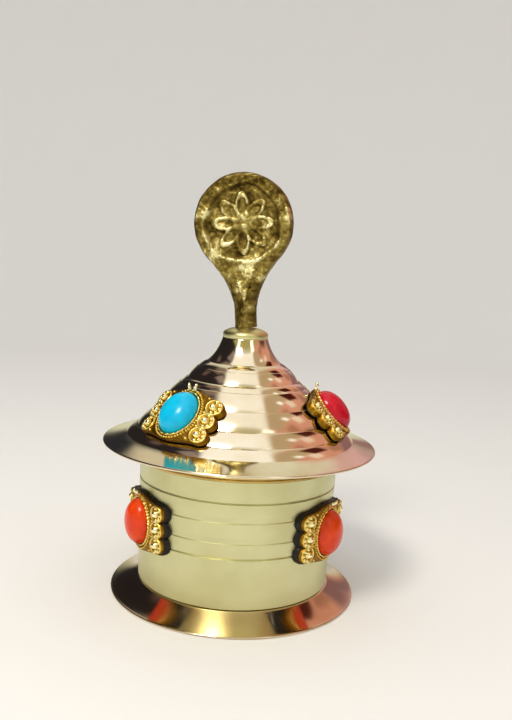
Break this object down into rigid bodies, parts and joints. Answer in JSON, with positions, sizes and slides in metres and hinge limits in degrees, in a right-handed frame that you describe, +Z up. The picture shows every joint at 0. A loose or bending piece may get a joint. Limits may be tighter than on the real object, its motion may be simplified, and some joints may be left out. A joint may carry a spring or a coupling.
{
  "type": "prayer wheel",
  "caption": "Table prayer wheel: a brass drum that turns on a spindle above a round base, under a lift-off stepped cone roof with a disc finial and set stones.",
  "frame": {"origin": "middle of the underside, on the spin axis", "axes": "+Z up along the spin axis; -Y is the front, the side that the finial's face looks to"},
  "size_m": [0.063, 0.063, 0.0964],
  "materials": {
    "polished_brass": "spun and mirror polished, pale",
    "satin_brass": "turned, fine satin",
    "cast_brass": "rough sand casting, brown in the hollows",
    "gilt": "gilt stamping, bright",
    "steel": "plain turned steel",
    "bedding": "hardened black bedding cement",
    "coral_stone": "polished cabochon, coral colour",
    "turquoise_stone": "polished cabochon, turquoise colour",
    "red_stone": "polished cabochon, deep red",
    "scroll_paper": "rolled plain hand-made paper",
    "ribbon": "woven ribbon"
  },
  "bodies": {
    "base": {"base_dish": "polished_brass", "base_plate": "satin_brass", "spindle": "steel", "base_nut": "steel", "thrust_washer": "steel", "top_washer": "steel", "top_nut": "steel"},
    "wheel": {"drum_shell": "satin_brass", "drum_floor": "satin_brass", "lower_bush": "polished_brass", "upper_bush": "polished_brass", "core_tube": "satin_brass", "mantra_scroll": "scroll_paper", "scroll_band_lower": "ribbon", "scroll_band_upper": "ribbon", "drum_pad_1": "bedding", "drum_pad_2": "bedding", "drum_pad_3": "bedding", "drum_setting_1": "gilt", "drum_setting_2": "gilt", "drum_setting_3": "gilt", "drum_stone_1": "coral_stone", "drum_stone_2": "coral_stone", "drum_stone_3": "coral_stone"},
    "roof": {"roof_shell": "polished_brass", "roof_skirt": "polished_brass", "roof_collar": "polished_brass", "finial": "cast_brass", "finial_washer": "steel", "finial_nut": "steel", "roof_pad_1": "bedding", "roof_pad_2": "bedding", "roof_pad_3": "bedding", "roof_setting_1": "gilt", "roof_setting_2": "gilt", "roof_setting_3": "gilt", "roof_stone_1": "turquoise_stone", "roof_stone_2": "red_stone", "roof_stone_3": "turquoise_stone"}
  },
  "joints": [
    {"name": "wheel_spin", "type": "hinge", "parent": "base", "child": "wheel", "pos_m": [0, 0, 0], "axis": [0, 0, 1], "continuous": true},
    {"name": "roof_lift", "type": "slide", "parent": "wheel", "child": "roof", "axis": [0, 0, 1], "range_m": [0, 0.045]}
  ]
}
